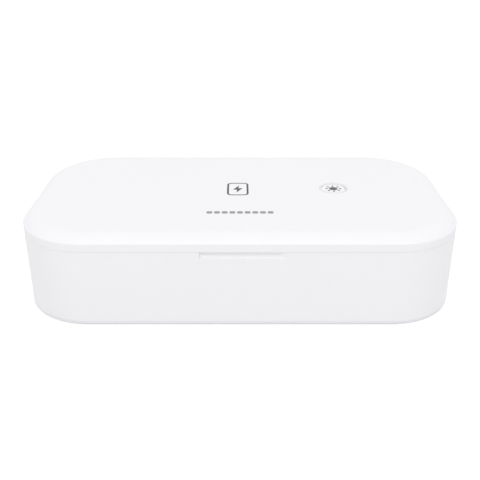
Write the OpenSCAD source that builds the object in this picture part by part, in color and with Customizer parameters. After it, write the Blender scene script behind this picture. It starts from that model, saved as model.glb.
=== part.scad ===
// UV sanitizer box for phones, with a wireless charging pad on its hinged lid.
// Millimetres. +Z is up and +X is right. The finger notch faces -Y and the hinge is at +Y.
// The origin is on the table, under the centre of the whole outline.

/* [Body] */
// Overall width of the box
body_w = 220; // [200:1:270]
// Depth of the box, without its hinge
body_d = 120; // [110:1:150]
// Overall height, from the table to the top of the lid
body_h = 48; // [40:1:60]
// Plan radius of the four corners
corner_r = 35; // [30:1:42]
// Thickness of the outer side walls
wall = 2.4; // [2:0.1:3]

/* [Lid] */
// Height of the lid's upright side, from its lower edge to the crease
lid_skirt = 4.1; // [3.3:0.1:5]
// How far the curved shoulder runs in from the side
shoulder_in = 8; // [6:0.5:10]
// How far the shoulder drops from the flat top to the crease
shoulder_drop = 3.7; // [3:0.1:4.5]
// Radius that eases the crease between the shoulder and the side
crease_r = 0.6; // [0.3:0.05:1]
// Thickness of the lid's top
top_t = 2.2; // [1.8:0.1:2.8]
// Clear height inside the lid, for its boards and coil
lid_stack = 7.4; // [7:0.1:9]
// Gap between the lid and the base all round
lid_gap = 0.05; // [0.05:0.05:0.5]
// Angle at which the lid meets its stop
lid_open = 105; // [90:1:110]

/* [Finger notch] */
// Width of the notch's back wall, under the front edge of the lid
notch_w = 38; // [30:1:50]
// Height of the notch below the rim of the base
notch_h = 3.4; // [3:0.1:5]
// Depth of the notch into the wall
notch_d = 1.4; // [1:0.1:1.6]
// How far the ledge at the bottom of the notch rises towards its back wall
notch_rise = 0.65; // [0.4:0.05:1]
// How far the left end of the notch flares towards the front
flare_left = 0.3; // [0.2:0.1:4]
// How far the right end of the notch flares towards the front
flare_right = 3.3; // [0.2:0.1:4]

/* [Hinge] */
// Distance of each outer hinge from the middle
hinge_x = 52; // [44:1:60]
// Radius of the knuckles
knuckle_r = 2.6; // [2.4:0.1:3]
// Radius of the steel pins
pin_r = 0.9; // [0.7:0.05:1.1]
// Running clearance of a pin in the lid's knuckles
pin_run = 0.05; // [0.03:0.01:0.08]
// Length of a lid knuckle
lid_knuckle = 12; // [9:0.5:16]
// Length of a base knuckle
base_knuckle = 7; // [5:0.5:10]
// How far the hinge axis stands out of the rear wall
axis_out = 1.2; // [1.1:0.05:1.5]
// Height of the hinge axis above the lid's lower edge
axis_up = 1.8; // [1.6:0.1:2.2]
// How far the gussets of the base knuckles run down the rear wall
gusset_h = 9; // [6:0.5:12]
// Reach of the stop ribs from the hinge axis
stop_r = 3.6; // [3.4:0.1:4]
// Half length of the hollow middle barrel
barrel_half = 15; // [14.6:0.2:20]

/* [Chamber] */
// Width of the rim left and right of the chamber
rim_side = 17; // [15:0.5:20]
// Width of the rim before and behind the chamber
rim_front = 14; // [13:0.5:17]
// Plan radius of the chamber's corners
chamber_r = 22; // [16:1:26]
// Radius between the chamber's walls and its floor
chamber_edge = 8; // [5:0.5:10]
// Wall thickness of the chamber liner and the lid liner
liner_wall = 1.6; // [1.2:0.1:2]
// Floor thickness of both liners, which holds the lamp windows
liner_floor = 2; // [1.8:0.1:2.6]
// Thickness of the liners' flanges
flange_t = 1.6; // [1.4:0.1:2]
// Gap round the raised middle of the lid liner, inside the chamber
light_trap = 1; // [0.9:0.05:1.5]
// Sideways distance between the phone rests
rest_pitch_x = 62; // [50:1:66]
// Distance of each row of phone rests from the middle
rest_y = 24; // [16:1:28]
// Radius of a phone rest
rest_r = 3; // [2.5:0.1:4]
// Height of a phone rest above the chamber's floor
rest_h = 3; // [2:0.1:4]

/* [UV lamps] */
// Number of lamps in the lid, and as many in the base
leds = 4; // [2:1:4]
// Distance between neighbouring lamps
led_pitch = 40; // [32:1:42]
// Diameter of a quartz window
window_d = 10; // [8:0.5:12]
// Thickness of a quartz window
window_t = 1.2; // [1:0.1:1.4]
// Side of a lamp's ceramic package
led_side = 3.5; // [3:0.1:4]
// Width of the lamp boards
led_board_w = 14; // [13:0.5:16]

/* [Button and charger] */
// Sideways place of the button
button_x = 51; // [44:1:58]
// Place of the button and the coil behind the middle of the lid
pad_y = 2; // [-4:1:6]
// Outer radius of the light ring round the button
ring_r = 7.8; // [7:0.1:8.6]
// Width of the visible light ring
ring_w = 1.1; // [0.9:0.1:1.4]
// How far the button can be pressed
button_travel = 0.5; // [0.3:0.1:0.6]
// How far the button lies below the top of the lid
button_sink = 0.3; // [0.2:0.05:0.4]
// Inner radius of the charging coil
coil_in = 9; // [7:0.5:10]
// Turns of the charging coil
coil_turns = 8; // [5:1:9]
// Thickness of the coil's wire
coil_wire = 1; // [0.8:0.05:1.05]
// Distance between neighbouring turns
coil_pitch = 1.5; // [1.5:0.05:1.7]
// Radius of the ferrite disc behind the coil
ferrite_r = 25; // [24:0.5:27]
// Thickness of the ferrite disc
ferrite_t = 0.8; // [0.6:0.1:1]

/* [Bottom] */
// How far the rubber feet stand out of the bottom
foot_out = 0.7; // [0.7:0.1:1.5]
// Radius of a foot
foot_r = 6.8; // [5.5:0.1:8]
// Distance of the feet from the sides
foot_inset_x = 30; // [26:1:36]
// Distance of the feet from the front and rear
foot_inset_y = 22; // [20:1:28]
// Thickness of the bottom cover
cover_t = 2; // [1.8:0.1:2.6]
// Height of the bottom cover's visible edge, under the side walls
cover_edge = 1; // [0.8:0.1:1.6]
// Radius of the cover's lower edge
cover_round = 0.6; // [0.3:0.1:0.7]
// Clear height between the bottom cover and the chamber liner
under_floor = 6.8; // [6.3:0.1:9]

/* [Boards and cable] */
// Thickness of the circuit boards
board_t = 1.2; // [1:0.1:1.4]
// Width of the main board
main_w = 64; // [60:1:80]
// Depth of the main board
main_d = 45; // [40:1:46]
// Radius of the cable between base and lid
cable_r = 0.9; // [0.7:0.05:1]
// Bend radius of the cable
cable_bend = 2.5; // [2.2:0.1:2.8]
// Sideways place of the cable where it turns out of the barrel
cable_x = 11; // [10.4:0.2:11.6]
// Radius of the closing magnets
magnet_r = 3; // [2.5:0.1:3.2]
// Thickness of the closing magnets
magnet_t = 2; // [1.5:0.1:2]
// Distance of the closing magnets from the middle
magnet_x = 32; // [28:1:40]

/* [Fits] */
// Clearance between pieces that are fixed to each other
fit = 0.15; // [0.1:0.05:0.2]
// Clearance between pieces that move past each other
run = 0.35; // [0.3:0.05:0.4]

/* [Hidden] */

// Overlap that joins two shapes of one piece, and the fineness of the round shapes
eps = 0.01;
fn_plan = 128;
fn_round = 48;

// Heights
cover_top = foot_out + cover_t;
seam_z = foot_out + cover_edge;
floor_under = cover_top + under_floor;
floor_z = floor_under + liner_floor;
lid_z = body_h - shoulder_drop - lid_skirt;
rim_z = lid_z - lid_gap;
lid_in_z = body_h - top_t;
tray_in_z = lid_in_z - lid_stack;
tray_z = tray_in_z - liner_floor;

// The hinge axis, and the shift that centres the whole outline on the origin
axis_y = body_d / 2 + axis_out;
axis_z = lid_z + axis_up;
relief_r = knuckle_r + run;
body_y = -(axis_out + stop_r) / 2;

// Plan sizes
chamber_w = body_w - 2 * rim_side;
chamber_d = body_d - 2 * rim_front;
tray_w = chamber_w - 2 * light_trap;
tray_d = chamber_d - 2 * light_trap;
tray_r = chamber_r - light_trap;
tray_edge = 3;
corner_x = body_w / 2 - corner_r;
corner_y = body_d / 2 - corner_r;

// The ledge that carries the chamber liner, and the channel between it and the chamber
ledge_w = 1.2;
ledge_t = 1.4;
channel_y = (chamber_d / 2 + liner_wall + body_d / 2 - wall - ledge_w) / 2;

// Screw bosses at the four corners
boss_r = 3.2;
boss_z = cover_top + 2;
boss_reach = corner_r - wall - ledge_w - boss_r - 0.6;
screw_r = 1.2;
screw_head_r = 2.5;
screw_head_t = 1.4;
screw_sink = 0.4;
screw_bite = 12;
lid_boss_r = 3;
lid_boss_reach = corner_r - wall - lid_boss_r - 2.2;
lid_pad_t = flange_t + 1;
lid_screw_r = 1;
lid_head_r = 2.2;
lid_head_t = 0.8;
bumper_r = 2.4;
bumper_gap = 0.05;

// Magnets in cups with a thin face towards each other
magnet_skin = 0.8;
cup_r = magnet_r + 1.2;

// Light ring, button and switch
ring_flange_r = ring_r + 1.4;
ring_flange_t = 0.8;
button_r = ring_r - ring_w - 0.2;
button_flange_r = button_r + 0.9;
button_flange_t = 0.6;
stem_r = 2;
switch_side = 6;
switch_t = 1.9;
plunger_r = 1.5;
plunger_sink = 0.9;
lid_board_z = tray_in_z + board_t + 0.4;
lid_board_top = lid_board_z + board_t;
plunger_top = lid_board_top + switch_t + button_travel + 0.1;
button_low = lid_in_z - ring_flange_t - button_flange_t;

// Boards, the posts that carry them and the pins that they are staked on
main_z = boss_z;
main_rear = body_d / 2 - wall - 0.3;
lid_board_x = [-64, 63];
lid_board_y = [-16, 41];
led_board_l = (leds - 1) * led_pitch + 24;
stake_r = 1;
stake_out = 0.8;
stake_inset = 4;
post_r = 2.3;
rest_peg_r = 1.8;

// The cable's run through the column behind the rear wall
socket_size = [6, 4.4, 2.4];
cable_bore = cable_r + 0.4;
cable_z = axis_z - 7.8;
column_r = knuckle_r;

// USB-C receptacle
usb_w = 8.94;
usb_h = 3.26;
usb_l = 7.4;
usb_wall = 0.3;
usb_gap = 0.3;
usb_z = main_z + board_t + usb_h / 2;
usb_mouth = body_d / 2 - 0.4;

// Radius of the shoulder's arc, which is level at the top and ends at the crease
shoulder_r = (pow(shoulder_in, 2) + pow(shoulder_drop, 2)) / (2 * shoulder_drop);
shoulder_z = body_h - shoulder_r;
crease_z = shoulder_z + sqrt(pow(shoulder_r - crease_r, 2) - pow(shoulder_in - crease_r, 2));

// Centre line of the coil, and the least distance between neighbouring turns, measured on it
coil_steps = 24;
coil_points = [
    for (i = [0 : coil_turns * coil_steps])
        let (a = i * 360 / coil_steps, r = coil_in + coil_wire / 2 + coil_pitch * i / coil_steps)
            [r * cos(a), r * sin(a), 0]
];
coil_gap = min([
    for (i = [0 : len(coil_points) - 1], j = [coil_steps - 2 : coil_steps + 2])
        if (i + j < len(coil_points)) norm(coil_points[i] - coil_points[i + j])
]) - coil_wire;
echo(least_gap_between_coil_turns = coil_gap);

// Colours
white = [0.95, 0.95, 0.96];
silver = [0.8, 0.81, 0.83];
steel = [0.7, 0.71, 0.73];
rubber = [0.55, 0.56, 0.58];
board_green = [0.1, 0.35, 0.22];
black = [0.15, 0.15, 0.16];

// Shared shapes

// Everything is drawn about the middle of the box, then moved so that the outline is centred
module at_body() translate([0, body_y, 0]) children();

// Rounded rectangle about the origin
module plan(w, d, r) {
    square([w - 2 * r, d], center = true);
    square([w, d - 2 * r], center = true);
    for (x = [-1, 1], y = [-1, 1])
        translate([x * (w / 2 - r), y * (d / 2 - r)]) circle(r, $fn = fn_plan);
}

// The box's own outline, drawn in by an inset
module body_plan(inset = 0) plan(body_w - 2 * inset, body_d - 2 * inset, corner_r - inset);

// Wall that follows the box's outline from one inset to the next
module body_ring(outer, inner, z, h) translate([0, 0, z]) linear_extrude(h) difference() {
    body_plan(outer);
    body_plan(inner);
}

// Carries a profile round a rounded rectangle: its x runs inwards from the outline, its y upwards
module swept(w, d, r) {
    for (c = [[1, 1, 0], [-1, 1, 90], [-1, -1, 180], [1, -1, 270]])
        translate([c[0] * (w / 2 - r), c[1] * (d / 2 - r), 0])
            rotate(c[2])
                rotate_extrude(angle = 90, $fn = fn_plan)
                    translate([r, 0]) mirror([1, 0]) children();
    for (half = [0, 180]) rotate(half) {
        translate([-(w / 2 - r), -d / 2, 0])
            rotate([90, 0, 90]) linear_extrude(w - 2 * r) children();
        translate([w / 2, -(d / 2 - r), 0])
            rotate([90, 0, 180]) linear_extrude(d - 2 * r) children();
    }
}

// Block with upright sides and a rounded lower edge, standing on z = 0
module soft_block(w, d, r, h, edge) {
    translate([0, 0, edge]) linear_extrude(h - edge) plan(w, d, r);
    linear_extrude(edge) plan(w - 2 * edge, d - 2 * edge, r - edge);
    swept(w, d, r) intersection() {
        square(edge);
        translate([edge, edge]) circle(edge, $fn = fn_plan);
    }
}

// Upright rod from z0 to z1
module rod(r, z0, z1) translate([0, 0, z0]) cylinder(h = z1 - z0, r = r, $fn = fn_round);

// Cylinder about the hinge axis from x0 to x1
module on_axis(x0, x1, r)
    translate([x0, axis_y, axis_z]) rotate([0, 90, 0]) cylinder(h = x1 - x0, r = r, $fn = fn_round);

// Profile in the plane across the hinge axis, carried from x0 to x1
module across_axis(x0, x1)
    translate([x0, axis_y, axis_z]) rotate([90, 0, 90]) linear_extrude(x1 - x0) children();

// Repeats its children in the four corners, a given reach out of the centre of each corner's arc
module at_corners(reach)
    for (x = [-1, 1], y = [-1, 1])
        translate([x * (corner_x + reach * cos(45)), y * (corner_y + reach * sin(45)), 0]) children();

module at_leds()
    for (i = [0 : leds - 1]) translate([(i - (leds - 1) / 2) * led_pitch, 0, 0]) children();

module at_rests()
    for (x = [-1, 0, 1], y = [-1, 1]) translate([x * rest_pitch_x, y * rest_y, 0]) children();

module at_magnets(places)
    for (x = places) translate([x * magnet_x, -channel_y, 0]) children();

module at_main_stakes()
    for (x = [-1, 1], y = [stake_inset, main_d - stake_inset])
        translate([x * (main_w / 2 - stake_inset), main_rear - y, 0]) children();

module at_lid_stakes()
    for (x = [lid_board_x[0] + stake_inset, lid_board_x[1] - stake_inset],
         y = [lid_board_y[0] + stake_inset, lid_board_y[1] - stake_inset])
        translate([x, y, 0]) children();

module at_button() translate([button_x, pad_y, 0]) children();

// Round cable through points that are joined by straight runs along X, Y or Z, with bends between
module cable(points, r) {
    last = len(points) - 1;
    for (i = [0 : last - 1]) {
        d = unit(points[i + 1] - points[i]);
        from = points[i] + (i == 0 ? 0 : cable_bend) * d;
        to = points[i + 1] - (i + 1 == last ? 0 : cable_bend) * d;
        u = [d[1], d[2], d[0]];
        v = cross(d, u);
        multmatrix([
            [u[0], v[0], d[0], from[0]],
            [u[1], v[1], d[1], from[1]],
            [u[2], v[2], d[2], from[2]]
        ]) cylinder(h = norm(to - from), r = r, $fn = fn_round);
    }
    for (i = [1 : last - 1]) {
        back = unit(points[i - 1] - points[i]);
        ahead = unit(points[i + 1] - points[i]);
        centre = points[i] + cable_bend * (back + ahead);
        w = cross(ahead, back);
        multmatrix([
            [-ahead[0], -back[0], w[0], centre[0]],
            [-ahead[1], -back[1], w[1], centre[1]],
            [-ahead[2], -back[2], w[2], centre[2]]
        ]) rotate_extrude(angle = 90, $fn = fn_round) translate([cable_bend, 0]) circle(r, $fn = fn_round);
    }
}

// Base

base_cable_route = [
    [0, axis_y, axis_z],
    [-cable_x, axis_y, axis_z],
    [-cable_x, axis_y, cable_z],
    [-cable_x, channel_y, cable_z],
    [-cable_x, channel_y, main_z + board_t + socket_size[2]]
];

// Knuckle of the base, with the gusset that carries it down the rear wall
module base_knuckle_at(x0, x1) {
    on_axis(x0, x1, knuckle_r);
    across_axis(x0, x1) polygon([
        [knuckle_r, 0],
        [-axis_out, -gusset_h],
        [-axis_out - wall / 2, -gusset_h],
        [-axis_out - wall / 2, rim_z - axis_z],
        [-axis_out + run, rim_z - axis_z],
        [-axis_out + run, 0]
    ]);
}

module base_knuckles()
    for (side = [-1, 1], start = [-lid_knuckle / 2 - run - base_knuckle, lid_knuckle / 2 + run])
        base_knuckle_at(side * hinge_x + start, side * hinge_x + start + base_knuckle);

// Column behind the rear wall in which the cable rises to the hinge axis
module cable_column() translate([-cable_x, axis_y, 0]) {
    rod(column_r, cable_z, rim_z);
    translate([0, 0, cable_z]) sphere(column_r, $fn = fn_round);
    translate([-column_r, -axis_out - wall / 2, cable_z])
        cube([2 * column_r, axis_out + wall / 2, rim_z - cable_z]);
}

// Pocket under the lid's front edge, with a sloping ledge and flared ends
module finger_notch() translate([0, -body_d / 2, 0]) intersection() {
    half = notch_w / 2;
    rotate([90, 0, 90]) translate([0, 0, -half - flare_left])
        linear_extrude(notch_w + flare_left + flare_right) polygon([
            [-1, rim_z - notch_h],
            [0, rim_z - notch_h],
            [notch_d, rim_z - notch_h + notch_rise],
            [notch_d, rim_z + 1],
            [-1, rim_z + 1]
        ]);
    translate([0, 0, rim_z - notch_h]) linear_extrude(notch_h + 1) polygon([
        [-half - flare_left, -1],
        [half + flare_right, -1],
        [half + flare_right, 0],
        [half, notch_d],
        [-half, notch_d],
        [-half - flare_left, 0]
    ]);
}

// Outline of the USB-C receptacle: straight top and bottom, round ends
module usb_outline(grow = 0) {
    r = usb_h / 2 + grow;
    square([usb_w - usb_h, 2 * r], center = true);
    for (x = [-1, 1]) translate([x * (usb_w - usb_h) / 2, 0]) circle(r, $fn = fn_round);
}

// Carries an outline from y forwards, at the height of the receptacle
module at_usb(y, length) translate([0, y, usb_z]) rotate([90, 0, 0]) linear_extrude(length) children();

module base_shell() at_body() color(white) difference() {
    seam_groove = 0.15;
    pin_half = lid_knuckle / 2 + run + base_knuckle;
    union() {
        body_ring(0, wall, seam_z, rim_z - seam_z);
        body_ring(wall - eps, wall + ledge_w, rim_z - flange_t - ledge_t, ledge_t);
        base_knuckles();
        base_knuckle_at(-barrel_half, -run / 2);
        cable_column();
    }
    body_ring(-1, 2 * seam_groove, seam_z - 1, 1 + seam_groove);
    finger_notch();
    for (x = [-hinge_x, hinge_x]) {
        on_axis(x - lid_knuckle / 2 - run, x + lid_knuckle / 2 + run, relief_r);
        on_axis(x - pin_half - 1, x + pin_half + 1, pin_r + 0.02);
    }
    on_axis(-run / 2, barrel_half + run, relief_r);
    cable([for (i = [0 : 3]) base_cable_route[i]], cable_bore);
    at_magnets([-1, 1]) rod(cup_r + fit, rim_z - flange_t - ledge_t - 1, rim_z + 1);
    at_usb(body_d / 2 + 1, wall + 2) usb_outline(usb_gap);
}

module at_feet()
    for (x = [-1, 1], y = [-1, 1])
        translate([x * (body_w / 2 - foot_inset_x), y * (body_d / 2 - foot_inset_y), 0]) children();

module bottom_cover() at_body() color(white) difference() {
    lip_t = 1.4;
    foot_sink = 0.6;
    rib_t = 1.6;
    rib_l = led_board_w - 2;
    union() {
        translate([0, 0, foot_out]) soft_block(body_w, body_d, corner_r, cover_edge, cover_round);
        translate([0, 0, seam_z - eps]) linear_extrude(cover_top - seam_z + eps) body_plan(wall + fit);
        body_ring(wall + fit, wall + fit + lip_t, cover_top - eps, main_z - fit - cover_top);
        at_corners(boss_reach) rod(screw_head_r + 1.6, cover_top - eps, boss_z);
        at_main_stakes() {
            rod(post_r, cover_top - eps, main_z);
            rod(stake_r, main_z - eps, main_z + board_t + stake_out);
        }
        // ribs that hold the lamp board up against the chamber liner
        for (x = [-led_pitch, led_pitch]) translate([x - rib_t / 2, -rib_l / 2, cover_top - eps])
            cube([rib_t, rib_l, floor_under - board_t - cover_top + eps]);
    }
    at_corners(boss_reach) {
        rod(screw_head_r + fit, foot_out - 1, foot_out + screw_sink + screw_head_t);
        rod(screw_r + fit, foot_out, boss_z + 1);
    }
    at_feet() rod(foot_r + fit, foot_out - 1, foot_out + foot_sink);
}

module foot(x, y) at_body() color(rubber)
    translate([x * (body_w / 2 - foot_inset_x), y * (body_d / 2 - foot_inset_y), 0]) {
        foot_edge = 0.4;
        rod(foot_r, foot_edge, foot_out + 0.6);
        cylinder(h = foot_edge, r1 = foot_r - foot_edge, r2 = foot_r, $fn = fn_round);
    }

module foot_front_left() foot(-1, -1);
module foot_front_right() foot(1, -1);
module foot_rear_left() foot(-1, 1);
module foot_rear_right() foot(1, 1);

module bottom_screws() at_body() color(steel) at_corners(boss_reach) {
    rod(screw_head_r, foot_out + screw_sink, foot_out + screw_sink + screw_head_t);
    rod(screw_r, foot_out + screw_sink, boss_z + screw_bite);
}

module base_liner() at_body() color(silver) difference() {
    union() {
        translate([0, 0, rim_z - flange_t]) linear_extrude(flange_t) body_plan(wall + fit);
        translate([0, 0, floor_under]) soft_block(
            chamber_w + 2 * liner_wall, chamber_d + 2 * liner_wall,
            chamber_r + liner_wall, rim_z - floor_under - eps, chamber_edge + liner_wall
        );
        at_corners(boss_reach) rod(boss_r, boss_z, rim_z - eps);
        at_magnets([-1, 1]) rod(cup_r, rim_z - magnet_skin - magnet_t - 1, rim_z - eps);
    }
    translate([0, 0, floor_z])
        soft_block(chamber_w, chamber_d, chamber_r, rim_z - floor_z + 1, chamber_edge);
    at_corners(boss_reach) rod(screw_r + 0.05, boss_z - 1, boss_z + screw_bite + 1);
    at_magnets([-1, 1]) rod(magnet_r + 0.05, rim_z - 6, rim_z - magnet_skin);
    at_leds() {
        rod(window_d / 2 + fit, floor_z - window_t, floor_z + 1);
        rod(window_d / 2 - 1, floor_under - 1, floor_z);
    }
    at_rests() rod(rest_peg_r + fit, floor_z - 1, floor_z + 1);
}

// Silicone buttons with domed tops, on which the phone lies clear of the lower lamps
module phone_rests() at_body() color(white, 0.8) at_rests() {
    dome = 1.2;
    dome_r = (pow(rest_r, 2) + pow(dome, 2)) / (2 * dome);
    rod(rest_peg_r, floor_z - 1, floor_z + 0.5);
    rod(rest_r, floor_z, floor_z + rest_h - dome);
    translate([0, 0, floor_z + rest_h - dome_r]) rotate_extrude($fn = fn_round) intersection() {
        translate([0, dome_r - dome]) square([rest_r, dome]);
        circle(dome_r, $fn = fn_plan);
    }
}

module led_board(z) color(board_green) difference() {
    translate([0, 0, z + board_t / 2]) cube([led_board_l, led_board_w, board_t], center = true);
    for (x = [-1, 1]) translate([x * (led_board_l / 2 - stake_inset), 0, 0]) rod(1.1, z - 1, z + 2 * board_t);
}

// Ceramic packages with the dome of each lens, facing up or down
module led_chips(z, up) color("gold") at_leds() translate([0, 0, z]) mirror([0, 0, up ? 0 : 1]) {
    translate([0, 0, 0.2]) cube([led_side, led_side, 0.4], center = true);
    rod(1.2, 0.3, 0.7);
}

module windows(z) color("lightblue", 0.4) at_leds() rod(window_d / 2, z, z + window_t);

module base_led_board() at_body() led_board(floor_under - board_t);
module base_uv_leds() at_body() led_chips(floor_under, true);
module base_uv_windows() at_body() windows(floor_z - window_t);

module main_board() at_body() color(board_green) difference() {
    translate([-main_w / 2, main_rear - main_d, main_z]) cube([main_w, main_d, board_t]);
    at_main_stakes() rod(stake_r + 0.1, main_z - 1, main_z + board_t + 1);
}

// Chips, a choke and capacitors, as [x, y, width, depth, height] from the board's front left corner
main_chips = [
    [14, 10, 7, 7, 1.2], [30, 12, 6, 6, 2.4], [44, 10, 5, 4, 1], [50, 22, 3.2, 1.6, 1.2],
    [12, 24, 3.2, 1.6, 1.2], [20, 28, 4, 5, 1.6], [44, 28, 4, 4, 1], [30, 24, 3.2, 2.5, 1.8]
];

module main_board_chips() at_body() color(black)
    translate([-main_w / 2, main_rear - main_d, main_z + board_t])
        for (c = main_chips) translate([c[0], c[1], 0]) cube([c[2], c[3], c[4]]);

module base_cable_socket() at_body() color("ivory")
    translate([-cable_x, channel_y, main_z + board_t + socket_size[2] / 2])
        cube(socket_size, center = true);

module base_cable() at_body() color(black) cable(base_cable_route, cable_r);

module usb_shell() at_body() color(steel) difference() {
    at_usb(usb_mouth, usb_l) usb_outline();
    at_usb(usb_mouth + 1, usb_l) usb_outline(-usb_wall);
}

module usb_tongue() at_body() color(black) {
    length = usb_l - 1.4;
    translate([0, usb_mouth - usb_l + 1 + length / 2, usb_z]) cube([6.7, length, 0.7], center = true);
}

module base_magnets() at_body() color(steel)
    at_magnets([-1, 1]) rod(magnet_r, rim_z - magnet_skin - magnet_t, rim_z - magnet_skin);

// Hall sensor on its own small board under the front rim, below the middle magnet of the lid
module interlock_sensor() at_body() color(board_green)
    translate([0, -channel_y, rim_z - flange_t]) {
        translate([0, 0, -0.5]) cube([14, 6, 1], center = true);
        translate([0, 0, -1.5 + eps]) cube([4, 3, 1], center = true);
    }

module hinge_pin(x) at_body() color(steel) {
    half = lid_knuckle / 2 + run + base_knuckle;
    on_axis(x - half, x + half, pin_r);
}

module hinge_pin_left() hinge_pin(-hinge_x);
module hinge_pin_right() hinge_pin(hinge_x);

// Lid

lid_cable_route = [
    [0, axis_y, axis_z],
    [cable_x, axis_y, axis_z],
    [cable_x, lid_board_y[1], axis_z]
];

// Section of the lid's edge: an upright side, the eased crease, and the arc that levels out
module lid_edge() {
    translate([0, lid_z]) square([shoulder_in, crease_z - lid_z]);
    translate([crease_r, crease_z]) circle(crease_r, $fn = fn_plan);
    steep = (crease_z - shoulder_z) / (shoulder_in - crease_r);
    intersection() {
        translate([shoulder_in, shoulder_z]) circle(shoulder_r, $fn = fn_plan);
        polygon([
            [shoulder_in, crease_z - eps],
            [shoulder_in, body_h + 1],
            [crease_r - (body_h + 1 - crease_z) / steep, body_h + 1],
            [crease_r, crease_z],
            [crease_r + eps / steep, crease_z - eps]
        ]);
    }
}

// Section of the room inside the lid's edge
module lid_edge_room() intersection() {
    translate([wall, lid_z - 1]) square([shoulder_in - wall, body_h - lid_z]);
    union() {
        translate([shoulder_in, shoulder_z]) circle(shoulder_r - top_t, $fn = fn_plan);
        translate([wall, lid_z - 1]) square([shoulder_in - wall, max(eps, shoulder_z - lid_z + 1)]);
    }
}

module lid_knuckles()
    for (x = [-hinge_x, hinge_x]) {
        on_axis(x - lid_knuckle / 2, x + lid_knuckle / 2, knuckle_r);
        // the rib meets the rear wall of the base one degree past the end of the lid's travel
        start = lid_open + 1 - 90 - asin(axis_out / stop_r);
        across_axis(x - lid_knuckle / 2, x + lid_knuckle / 2) polygon([
            [0, 0],
            [stop_r * cos(start), stop_r * sin(start)],
            [stop_r * cos(start + 24), stop_r * sin(start + 24)]
        ]);
    }

module lid_shell() at_body() color(white) difference() {
    union() {
        difference() {
            union() {
                swept(body_w, body_d, corner_r) lid_edge();
                translate([0, 0, lid_z]) linear_extrude(body_h - lid_z) body_plan(shoulder_in);
            }
            swept(body_w, body_d, corner_r) lid_edge_room();
            translate([0, 0, lid_z - 1]) linear_extrude(lid_in_z - lid_z + 1) body_plan(shoulder_in);
        }
        lid_knuckles();
        on_axis(run / 2, barrel_half, knuckle_r);
        at_corners(lid_boss_reach) rod(lid_boss_r, lid_z + lid_pad_t, lid_in_z + eps);
        at_lid_stakes() {
            rod(post_r, lid_board_top, lid_in_z + eps);
            rod(stake_r, lid_board_z - 0.3, lid_board_top + eps);
        }
    }
    for (x = [-hinge_x, hinge_x], start = [-lid_knuckle / 2 - base_knuckle - 2 * run, lid_knuckle / 2])
        on_axis(x + start, x + start + base_knuckle + 2 * run, relief_r);
    for (x = [-hinge_x, hinge_x])
        on_axis(x - lid_knuckle, x + lid_knuckle, pin_r + pin_run);
    on_axis(-barrel_half - run, run / 2, relief_r);
    cable(lid_cable_route, cable_bore);
    at_corners(lid_boss_reach) rod(lid_screw_r + 0.05, lid_z, lid_in_z - 0.8);
    at_button() rod(ring_r + 0.05, lid_z, body_h + 1);
}

module lid_liner() at_body() color(silver) difference() {
    union() {
        translate([0, 0, lid_z]) linear_extrude(flange_t) body_plan(wall + fit);
        translate([0, 0, tray_z]) soft_block(tray_w, tray_d, tray_r, lid_z - tray_z + eps, tray_edge);
        at_corners(lid_boss_reach) rod(lid_boss_r + 0.6, lid_z, lid_z + lid_pad_t);
        at_magnets([-1, 0, 1]) rod(cup_r, lid_z, lid_z + magnet_skin + magnet_t);
    }
    translate([0, 0, tray_in_z]) soft_block(
        tray_w - 2 * liner_wall, tray_d - 2 * liner_wall, tray_r - liner_wall,
        lid_stack, tray_edge - liner_wall
    );
    at_corners(lid_boss_reach) {
        rod(bumper_r + 0.1, lid_z - 1, lid_z + flange_t);
        rod(lid_screw_r + fit, lid_z, lid_z + lid_pad_t + 1);
    }
    at_magnets([-1, 0, 1]) rod(magnet_r + 0.05, lid_z + magnet_skin, lid_z + 6);
    at_leds() {
        rod(window_d / 2 + fit, tray_z - 1, tray_z + window_t);
        rod(window_d / 2 - 1, tray_z, tray_in_z + 1);
    }
    translate([cable_x - cable_bore, tray_d / 2 - liner_wall - 1, axis_z - cable_bore])
        cube([2 * cable_bore, body_d, 2 * cable_bore]);
}

module lid_screws() at_body() color(steel) at_corners(lid_boss_reach) {
    rod(lid_head_r, lid_z + flange_t - lid_head_t, lid_z + flange_t);
    rod(lid_screw_r, lid_z + flange_t - eps, lid_in_z - 1);
}

module lid_bumpers() at_body() color(rubber)
    at_corners(lid_boss_reach) rod(bumper_r, rim_z + bumper_gap, lid_z + flange_t - lid_head_t);

module lid_led_board() at_body() led_board(tray_in_z);
module lid_uv_leds() at_body() led_chips(tray_in_z, false);
module lid_uv_windows() at_body() windows(tray_z);

module lid_board() at_body() color(board_green) difference() {
    translate([lid_board_x[0], lid_board_y[0], lid_board_z])
        cube([lid_board_x[1] - lid_board_x[0], lid_board_y[1] - lid_board_y[0], board_t]);
    at_lid_stakes() rod(stake_r + 0.1, lid_board_z - 1, lid_board_top + 1);
}

// Charger chips and capacitors, as [x, y, width, depth, height] about the middle of the lid
lid_chips = [
    [-50, 20, 6, 6, 1], [-40, 22, 3.2, 2.5, 1.6], [-50, 4, 5, 5, 1], [-40, 2, 7, 7, 2],
    [-52, -8, 3.2, 1.6, 1.2], [-44, -10, 3.2, 1.6, 1.2], [-34, 30, 4, 4, 1], [30, 30, 5, 5, 1],
    [40, 26, 3.2, 1.6, 1.2]
];

module lid_board_chips() at_body() color(black)
    for (c = lid_chips) translate([c[0], c[1], lid_board_top]) cube([c[2], c[3], c[4]]);

module lid_cable_socket() at_body() color("ivory")
    translate([cable_x, lid_board_y[1] - socket_size[1] / 2, lid_board_top + socket_size[2] / 2])
        cube(socket_size, center = true);

module lid_cable() at_body() color(black) cable(lid_cable_route, cable_r);

module charging_coil() at_body() color([0.72, 0.42, 0.2])
    translate([0, pad_y, lid_in_z - coil_wire / 2 - 0.05])
        tube(with_straight_ends(coil_points, coil_wire), coil_wire / 2, 6);

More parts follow.
